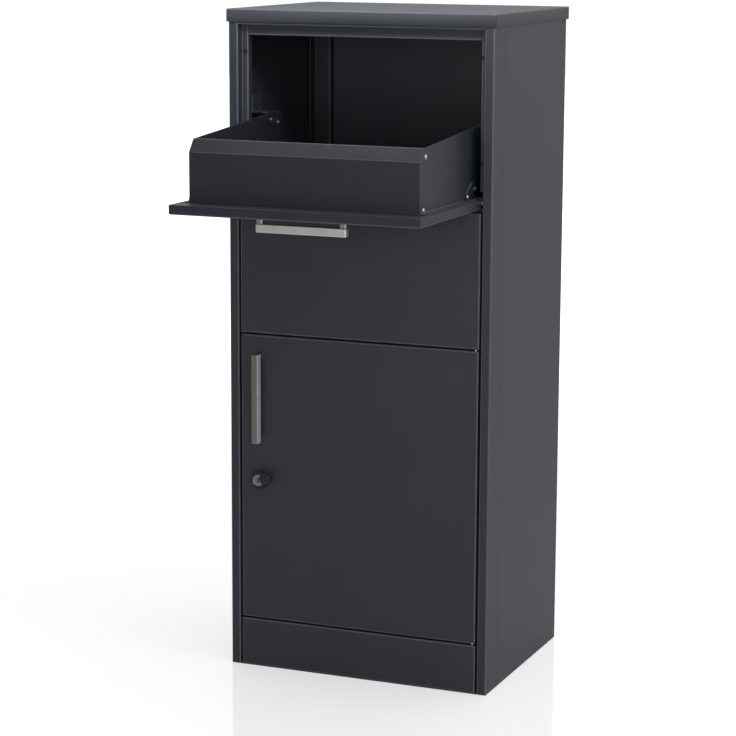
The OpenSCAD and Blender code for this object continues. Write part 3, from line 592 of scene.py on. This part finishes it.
pullHandle = {
    "barDepth": 0.0125,    # how thick the bar is, away from the sheet
    "edgeRadius": 0.0014,
    "endRadius": 0.0014,
    "tip": ((1, 0.8), (0.92, 0.5), (0.71, 0.25), (0.38, 0.06), (0, 0)),  # shares of endRadius: along, inward
    "stations": 24,
    "satinFrom": 0.65,     # faces turned this far to the side are satin
    "legLength": 0.0096,   # along the bar
    "legSetBack": 0.0014,  # how far the leg stands in from the bar's sides
    "legRadius": 0.0024,
    "legSink": 0.002,      # how far the leg goes into the bar
    "footFlare": 0.0006,
    "footHeight": 0.0014,
    "foot": ((0, 1), (1, 1), (1.5, 0.3), (2, 0)),  # shares of footHeight and of footFlare
}


def arc(centre, radius, fromAngle, toAngle, steps):
    angles = [math.radians(fromAngle + (toAngle - fromAngle) * i / steps) for i in range(steps + 1)]
    return [(centre[0] + radius * math.cos(a), centre[1] + radius * math.sin(a)) for a in angles]


def roundedBlock(width, depth, radius):
    x, y = width / 2 - radius, depth / 2 - radius
    corners = ((x, y, 0), (-x, y, 90), (-x, -y, 180), (x, -y, 270))
    return [point for cx, cy, turn in corners for point in arc((cx, cy), radius, turn, turn + 90, 6)]


def stackRings(bm, rings):
    # Joins rings of points into one closed skin
    for lower, upper in zip(rings, rings[1:]):
        for i in range(len(lower)):
            j = (i + 1) % len(lower)
            bm.faces.new((lower[i], lower[j], upper[j], upper[i]))
    bm.faces.new(list(reversed(rings[0])))
    bm.faces.new(rings[-1])


def makeHandle(name, along, outward, body, finish, sides, node, setup=pullHandle):
    low, high = (Vector(corner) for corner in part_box(node))
    along, outward = Vector(along), Vector(outward)
    across = along.cross(outward)
    length, height, width = (abs((high - low).dot(way)) for way in (along, outward, across))
    root = (low + high) / 2 - outward * height / 2
    bar, edge, end = setup["barDepth"], setup["edgeRadius"], setup["endRadius"]
    bm = bmesh.new()

    def ring(outline, middle):
        return [bm.verts.new(middle + first + second) for first, second in outline]

    # the bar, ring by ring from end to end, a little smaller at each end
    tip = [(end * way, end * inward) for way, inward in setup["tip"]]
    places = [(-length / 2 + end - way, inward) for way, inward in tip]
    places += [(-length / 2 + length * i / setup["stations"], 0) for i in range(1, setup["stations"])]
    places += [(length / 2 - end + way, inward) for way, inward in reversed(tip)]
    rings = []
    for way, inward in places:
        outline = roundedBlock(width - 2 * inward, bar - 2 * inward, edge)
        rings.append(ring([(across * x, outward * z) for x, z in outline],
                          root + along * way + outward * (height - bar / 2)))
    stackRings(bm, rings)
    barFaces = set(bm.faces)
    for face in bm.faces:
        face.normal_update()
        if abs(face.normal.dot(across)) > setup["satinFrom"]:
            face.material_index = 2  # the sides take the side finish, which on the door handle is a brighter, rougher copy of the nickel: a painted highlight
    # the legs, with a small flare at the foot
    leg, flare, foot = setup["legLength"], setup["footFlare"], setup["footHeight"]
    thick = width - 2 * setup["legSetBack"]
    levels = [(foot * up, flare * out) for up, out in setup["foot"]] + [(height - bar + setup["legSink"], 0)]
    for side in (-1, 1):
        centre = root + along * side * (length / 2 - leg / 2 - flare)
        rings = []
        for up, grow in levels:
            outline = roundedBlock(leg + 2 * grow, thick + 2 * grow, setup["legRadius"])
            rings.append(ring([(along * x, across * y) for x, y in outline], centre + outward * up))
        stackRings(bm, rings)
    for face in bm.faces:
        if face not in barFaces:
            face.material_index = 1
    bmesh.ops.recalc_face_normals(bm, faces=bm.faces)
    skins = [finishes[finish], finishes["polished"], finishes[sides]]
    finishMesh(bm, name, skins, body, "handle_nickel", node)


makeHandle("hopperHandle", (1, 0, 0), (0, 0, -1), "hopper", "handleAcross", "handleAcross", "hopper_handle")
makeHandle("doorHandle", (0, 0, 1), (0, -1, 0), "door", "handleUp", "handleSide", "door_handle")
print("handles made")


# Lock surround: a turned black ring with a rolled rim, and its dust cover swung to one side

lockRing = {
    "bore": 0.0184,            # clears the lock's round head
    "steps": 64,
    "rimRadius": 0.0032,
    "innerRadius": 0.0009,
    "innerSink": 0.0003,
    "groove": (0.0018, 0.0034),  # from and to, above the door
    "grooveDepth": 0.0005,
    "grooveSlope": 0.0004,
    "coverDiameter": 0.0180,
    "coverThickness": 0.0024,
    "coverChamfer": (0.0004, 0.0003),
    "coverRadius": 0.0013,
    "coverPlace": (0.0120, 0.0035),   # from the middle of the lock, right and up
    "coverGap": 0.0002,
    "coverSteps": 48,
    "crown": 0.0002,           # how much the cover and the stud rise to their middle
    "studPlace": (0.0098, 0.0098),
    "studDiameter": 0.0050,
    "studSide": 0.0030,
    "studRadius": 0.0010,
    "studSink": 0.0006,
    "studSteps": 24,
}


def turnShape(bm, x, z, base, profile, steps, closed):
    # Turns (radius, height) points about an axis that stands out from the front of the box
    angles = [2 * math.pi * i / steps for i in range(steps)]
    rings = []
    for radius, height in profile:
        if radius == 0:
            rings.append([bm.verts.new((x, base - height, z))] * steps)
        else:
            rings.append([bm.verts.new((x + radius * math.cos(a), base - height, z + radius * math.sin(a)))
                          for a in angles])
    pairs = list(zip(rings, rings[1:])) + ([(rings[-1], rings[0])] if closed else [])
    for lower, upper in pairs:
        for i in range(steps):
            corners = []
            for vert in (lower[i], lower[(i + 1) % steps], upper[(i + 1) % steps], upper[i]):
                if vert not in corners:
                    corners.append(vert)
            bm.faces.new(corners)


def ringProfile(setup, radius, height):
    bore, rim, inner = setup["bore"] / 2, setup["rimRadius"], setup["innerRadius"]
    floor, slope = radius - setup["grooveDepth"], setup["grooveSlope"]
    low, high = setup["groove"]
    profile = [(bore, 0), (radius, 0)]
    profile += [(radius, low), (floor, low + slope), (floor, high - slope), (radius, high)]
    profile += arc((radius - rim, height - rim), rim, 0, 80, 8)
    return profile + arc((bore + inner, height - setup["innerSink"] - inner), inner, 90, 180, 4)


def coverProfile(setup):
    radius, thick = setup["coverDiameter"] / 2, setup["coverThickness"]
    edge, crown = setup["coverRadius"], setup["crown"]
    inward, up = setup["coverChamfer"]
    profile = [(0, 0), (radius - inward, 0), (radius, up)]
    profile += arc((radius - edge, thick - edge - crown / 2), edge, 0, 75, 6)
    return profile + [(radius / 2, thick + crown / 2), (0, thick + crown)]


def studProfile(setup):
    radius, side, edge = setup["studDiameter"] / 2, setup["studSide"], setup["studRadius"]
    profile = [(0, 0), (radius, 0), (radius, side)] + arc((radius - edge, side), edge, 0, 90, 5)
    return profile + [(0, side + edge + setup["crown"])]


def makeLockRing(setup):
    low, high = (Vector(corner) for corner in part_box("lock_rosette"))
    x, z = (low.x + high.x) / 2, (low.z + high.z) / 2
    cover, stud = setup["coverPlace"], setup["studPlace"]
    bm = bmesh.new()
    turnShape(bm, x, z, high.y, ringProfile(setup, (high.x - low.x) / 2, high.y - low.y),
              setup["steps"], True)
    turnShape(bm, x + cover[0], z + cover[1], low.y - setup["coverGap"], coverProfile(setup),
              setup["coverSteps"], False)
    turnShape(bm, x + stud[0], z + stud[1], low.y + setup["studSink"], studProfile(setup),
              setup["studSteps"], False)
    bmesh.ops.recalc_face_normals(bm, faces=bm.faces)
    finishMesh(bm, "lockRosette", [finishes["blackPlastic"]], "door", "black_plastic", "lock_rosette")


makeLockRing(lockRing)
print("lock ring made")


# Geometry Nodes: the lid, and every screw and rivet

def newShapeTree(name, sockets):
    tree = bpy.data.node_groups.new(name, "GeometryNodeTree")
    tree.interface.new_socket(name="Geometry", in_out="INPUT", socket_type="NodeSocketGeometry")
    tree.interface.new_socket(name="Geometry", in_out="OUTPUT", socket_type="NodeSocketGeometry")
    for label, kind in sockets:
        tree.interface.new_socket(name=label, in_out="INPUT", socket_type=kind)
    return tree, tree.nodes.new("NodeGroupInput"), tree.nodes.new("NodeGroupOutput")


def endShape(tree, given, out, shape):
    real = addNode(tree, "GeometryNodeRealizeInstances")
    paint = addNode(tree, "GeometryNodeSetMaterial")
    link(tree, shape, real.inputs[0])
    link(tree, real.outputs[0], paint.inputs["Geometry"])
    link(tree, given.outputs["Material"], paint.inputs["Material"])
    link(tree, paint.outputs[0], out.inputs[0])


def growShape(name, tree, values, startMesh):
    # Runs a tree on a mesh and keeps the result as a plain mesh
    carrier = bpy.data.objects.new(name, startMesh)
    scene.collection.objects.link(carrier)
    modifier = carrier.modifiers.new(tree.name, "NODES")
    modifier.node_group = tree
    for item in tree.interface.items_tree:
        if item.item_type == "SOCKET" and item.in_out == "INPUT" and item.name in values:
            modifier[item.identifier] = values[item.name]
    graph = bpy.context.evaluated_depsgraph_get()
    mesh = bpy.data.meshes.new_from_object(carrier.evaluated_get(graph), depsgraph=graph)
    carrier.modifiers.remove(modifier)
    bpy.data.objects.remove(carrier)
    return mesh


lid = {
    "cornerRadius": 0.0026,
    "cornerSteps": 5,
    "foldRadius": 0.0018,
    "foldSteps": 5,
    "foldWearAndHighlight": 0.6,
    "sheet": 0.0012,
    "weld": 0.00001,
}


def buildLidTree(setup):
    # A rectangle with tight corners is filled for the top and drawn down for the skirt
    tree, given, out = newShapeTree("foldedLid", [
        ("Width", "NodeSocketFloat"), ("Depth", "NodeSocketFloat"), ("Skirt", "NodeSocketFloat"),
        ("Corner Radius", "NodeSocketFloat"), ("Material", "NodeSocketMaterial")])
    rectangle = addNode(tree, "GeometryNodeCurvePrimitiveQuadrilateral")
    corners = addNode(tree, "GeometryNodeFilletCurve", mode="POLY")
    corners.inputs["Count"].default_value = setup["cornerSteps"]
    top = addNode(tree, "GeometryNodeFillCurve", mode="NGONS")
    outline = addNode(tree, "GeometryNodeCurveToMesh")
    skirt = addNode(tree, "GeometryNodeExtrudeMesh", mode="EDGES")
    down = addNode(tree, "ShaderNodeCombineXYZ")
    down.inputs["Z"].default_value = -1
    link(tree, down.outputs[0], skirt.inputs["Offset"])
    join = addNode(tree, "GeometryNodeJoinGeometry")
    weld = addNode(tree, "GeometryNodeMergeByDistance")
    weld.inputs["Distance"].default_value = setup["weld"]
    link(tree, given.outputs["Width"], rectangle.inputs["Width"])
    link(tree, given.outputs["Depth"], rectangle.inputs["Height"])
    link(tree, rectangle.outputs[0], corners.inputs["Curve"])
    link(tree, given.outputs["Corner Radius"], corners.inputs["Radius"])
    link(tree, corners.outputs[0], top.inputs["Curve"])
    link(tree, corners.outputs[0], outline.inputs["Curve"])
    link(tree, outline.outputs[0], skirt.inputs["Mesh"])
    link(tree, given.outputs["Skirt"], skirt.inputs["Offset Scale"])
    link(tree, top.outputs[0], join.inputs[0])
    link(tree, skirt.outputs["Mesh"], join.inputs[0])
    link(tree, join.outputs[0], weld.inputs["Geometry"])
    endShape(tree, given, out, weld.outputs[0])
    return tree


fasteners = {
    "shank": 3.6,            # mm
    "domeSpread": 0.54,      # half width of the dome, as a share of the head's diameter
    "domeRise": 0.98,        # its height, as a share of the head's
    "recessLength": 0.52,    # of the cross, as shares of the head's diameter
    "recessWidth": 0.11,
    "headSteps": 32,
    "shankSteps": 16,
    "rimShare": 0.99,        # points this near to the widest belong to the head's rim
    "seed": 7,
    "sets": {  # body, and whether it is a screw with a cross
        "tray_screws": ("hopper", True), "hopper_handle_screws": ("hopper", True),
        "door_handle_screws": ("door", True), "lock_cam_screw": ("lock", True),
        "back_panel_screws": ("cabinet", True), "panel_rivets": ("cabinet", False),
    },
}


def combine(tree, x, y, z):
    node = addNode(tree, "ShaderNodeCombineXYZ")
    for socket, value in zip(node.inputs, (x, y, z)):
        feed(tree, value, socket)
    return node.outputs[0]


def shift(tree, shape, label, value):
    # Moves a shape, or scales it
    node = addNode(tree, "GeometryNodeTransform")
    link(tree, shape, node.inputs["Geometry"])
    link(tree, value, node.inputs[label])
    return node.outputs[0]


def addCylinder(tree, steps, diameter, depth):
    node = addNode(tree, "GeometryNodeMeshCylinder")
    node.inputs["Vertices"].default_value = steps
    link(tree, mathNode(tree, "MULTIPLY", diameter, 0.5), node.inputs["Radius"])
    link(tree, depth, node.inputs["Depth"])
    return node.outputs["Mesh"]


def addHead(tree, setup, width, height, crossed):
    # A dome cut from a flattened ball, with a cross recess where it is a screw
    ball = addNode(tree, "GeometryNodeMeshUVSphere")
    ball.inputs["Segments"].default_value = setup["headSteps"]
    ball.inputs["Rings"].default_value = setup["headSteps"] // 2
    ball.inputs["Radius"].default_value = 1.0
    wide = mathNode(tree, "MULTIPLY", width, setup["domeSpread"])
    rise = mathNode(tree, "MULTIPLY", height, setup["domeRise"])
    dome = shift(tree, ball.outputs["Mesh"], "Scale", combine(tree, wide, wide, rise))
    drum = addCylinder(tree, setup["headSteps"], width, height)
    seat = shift(tree, drum, "Translation", combine(tree, 0, 0, mathNode(tree, "MULTIPLY", height, 0.5)))
    head = addNode(tree, "GeometryNodeMeshBoolean", operation="INTERSECT")
    link(tree, dome, head.inputs["Mesh 2"])
    link(tree, seat, head.inputs["Mesh 2"])
    recess = addNode(tree, "GeometryNodeMeshBoolean", operation="DIFFERENCE")
    link(tree, head.outputs[0], recess.inputs["Mesh 1"])
    long = mathNode(tree, "MULTIPLY", width, setup["recessLength"])
    narrow = mathNode(tree, "MULTIPLY", width, setup["recessWidth"])
    for x, y in ((long, narrow), (narrow, long)):
        bar = addNode(tree, "GeometryNodeMeshCube")
        link(tree, combine(tree, x, y, height), bar.inputs["Size"])
        raised = shift(tree, bar.outputs["Mesh"], "Translation", combine(tree, 0, 0, height))
        link(tree, raised, recess.inputs["Mesh 2"])
    pick = addNode(tree, "GeometryNodeSwitch", input_type="GEOMETRY")
    link(tree, crossed, pick.inputs["Switch"])
    link(tree, head.outputs[0], pick.inputs["False"])
    link(tree, recess.outputs[0], pick.inputs["True"])
    return pick.outputs[0]


def buildFastenerTree(setup):
    # A head and its shank, put on each point, turned to face out and rolled at random
    tree, given, out = newShapeTree("fastenerRow", [
        ("Head Diameter", "NodeSocketFloat"), ("Head Height", "NodeSocketFloat"),
        ("Shank Diameter", "NodeSocketFloat"), ("Shank Length", "NodeSocketFloat"),
        ("Cross Recess", "NodeSocketBool"), ("Seed", "NodeSocketInt"), ("Material", "NodeSocketMaterial")])
    inputs = given.outputs
    head = addHead(tree, setup, inputs["Head Diameter"], inputs["Head Height"], inputs["Cross Recess"])
    shank = addCylinder(tree, setup["shankSteps"], inputs["Shank Diameter"], inputs["Shank Length"])
    drop = mathNode(tree, "MULTIPLY", inputs["Shank Length"], -0.5)
    whole = addNode(tree, "GeometryNodeJoinGeometry")
    link(tree, head, whole.inputs[0])
    link(tree, shift(tree, shank, "Translation", combine(tree, 0, 0, drop)), whole.inputs[0])
    facing = addNode(tree, "GeometryNodeInputNamedAttribute", data_type="FLOAT_VECTOR")
    facing.inputs["Name"].default_value = "facing"
    align = addNode(tree, "FunctionNodeAlignRotationToVector", axis="Z")
    link(tree, facing.outputs["Attribute"], align.inputs["Vector"])
    roll = addNode(tree, "FunctionNodeRandomValue", data_type="FLOAT")
    socketOf(roll.inputs, "Max_001").default_value = 2 * math.pi
    link(tree, inputs["Seed"], roll.inputs["Seed"])
    turn = addNode(tree, "FunctionNodeAxisAngleToRotation")
    link(tree, socketOf(roll.outputs, "Value_001"), turn.inputs["Angle"])
    spun = addNode(tree, "FunctionNodeRotateRotation", rotation_space="LOCAL")
    link(tree, align.outputs[0], spun.inputs["Rotation"])
    link(tree, turn.outputs[0], spun.inputs["Rotate By"])
    spread = addNode(tree, "GeometryNodeInstanceOnPoints")
    spread.inputs["Scale"].default_value = (0.001, 0.001, 0.001)  # the head is drawn in millimetres
    link(tree, inputs["Geometry"], spread.inputs["Points"])
    link(tree, whole.outputs[0], spread.inputs["Instance"])
    link(tree, spun.outputs[0], spread.inputs["Rotation"])
    endShape(tree, given, out, spread.outputs[0])
    return tree


def makeLid(setup):
    low, high = (Vector(corner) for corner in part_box("roof_cap"))
    mesh = growShape("roofCap", buildLidTree(setup), {
        "Width": high.x - low.x, "Depth": high.y - low.y, "Skirt": high.z - low.z,
        "Corner Radius": setup["cornerRadius"], "Material": finishes["lidCoat"],
    }, bpy.data.meshes.new("roofCap"))
    bm = bmesh.new()
    bm.from_mesh(mesh)
    bmesh.ops.recalc_face_normals(bm, faces=bm.faces)
    if max(bm.faces, key=lambda f: f.calc_area()).normal.z < 0:
        bmesh.ops.reverse_faces(bm, faces=bm.faces)
    bmesh.ops.translate(bm, vec=((low.x + high.x) / 2, (low.y + high.y) / 2, high.z), verts=bm.verts)
    rim = [e for e in bm.edges if len(e.link_faces) == 2
           and all(abs(v.co.z - high.z) < meshCare["weld"] for v in e.verts)]
    mask = edgeLayer(bm)
    made = bmesh.ops.bevel(bm, geom=rim, offset=setup["foldRadius"], offset_type="OFFSET",
                           segments=setup["foldSteps"], profile=0.5, affect="EDGES", clamp_overlap=False)
    # the lid's folded rim takes the edge colour: a painted highlight and thin paint
    for face in made["faces"]:
        face[mask] = setup["foldWearAndHighlight"]
    piece = finishMesh(bm, "roofCap", [finishes["lidCoat"]], "cabinet", "body_coat", "roof_cap")
    shell = piece.modifiers.new("sheet", "SOLIDIFY")
    shell.thickness = setup["sheet"]
    shell.offset = -1
    shell.use_even_offset = True


def joinedVerts(bm):
    # The points of each separate shape in a mesh, shape by shape
    found = set()
    for start in bm.verts:
        if start in found:
            continue
        found.add(start)
        group = [start]
        for vert in group:
            for edge in vert.link_edges:
                other = edge.other_vert(vert)
                if other not in found:
                    found.add(other)
                    group.append(other)
        yield group


def fastenerSpots(name, rimShare):
    # Reads each screw of a CAD part: where its head sits, which way it faces and its sizes in millimetres
    bm = cleanCopy(name)
    spots = []
    for group in joinedVerts(bm):
        low = Vector([min(v.co[i] for v in group) for i in range(3)])
        high = Vector([max(v.co[i] for v in group) for i in range(3)])
        size, at = high - low, (low + high) / 2
        axis = min(range(3), key=lambda i: abs(size[(i + 1) % 3] - size[(i + 2) % 3]))
        flat = [i for i in range(3) if i != axis]
        reach = [math.hypot(*(v.co[i] - at[i] for i in flat)) for v in group]
        widest = max(reach)
        rim = [v.co[axis] for v, far in zip(group, reach) if far > widest * rimShare]
        seat = sum(rim) / len(rim)
        above, below = high[axis] - seat, seat - low[axis]
        facing = Vector()
        facing[axis] = 1 if above < below else -1
        at[axis] = seat
        spots.append((at, facing, widest * 2000, min(above, below) * 1000, max(above, below) * 1000))
    bm.free()
    return spots


def makeFasteners(setup):
    tree = buildFastenerTree(setup)
    for name, (body, crossed) in setup["sets"].items():
        spots = fastenerSpots(name, setup["rimShare"])
        points = bpy.data.meshes.new(name)
        points.from_pydata([spot[0] for spot in spots], [], [])
        facing = points.attributes.new("facing", "FLOAT_VECTOR", "POINT")
        facing.data.foreach_set("vector", [c for spot in spots for c in spot[1]])
        finish, slot = ("zinc", "plated_steel") if crossed else ("coat", "body_coat")
        mesh = growShape(name, tree, {
            "Head Diameter": spots[0][2], "Head Height": spots[0][3], "Shank Diameter": setup["shank"],
            "Shank Length": min(spot[4] for spot in spots), "Cross Recess": crossed, "Seed": setup["seed"],
            "Material": finishes[finish]}, points)
        bm = bmesh.new()
        bm.from_mesh(mesh)
        bmesh.ops.remove_doubles(bm, verts=bm.verts, dist=1e-7)
        finishMesh(bm, camel(name), [finishes[finish]], body, slot, name)
        print(name, len(spots), "made")


makeLid(lid)
makeFasteners(fasteners)

plain = [name for name, node in nodes.items() if not node.hide_render]
print("CAD parts left showing:", plain or "none")
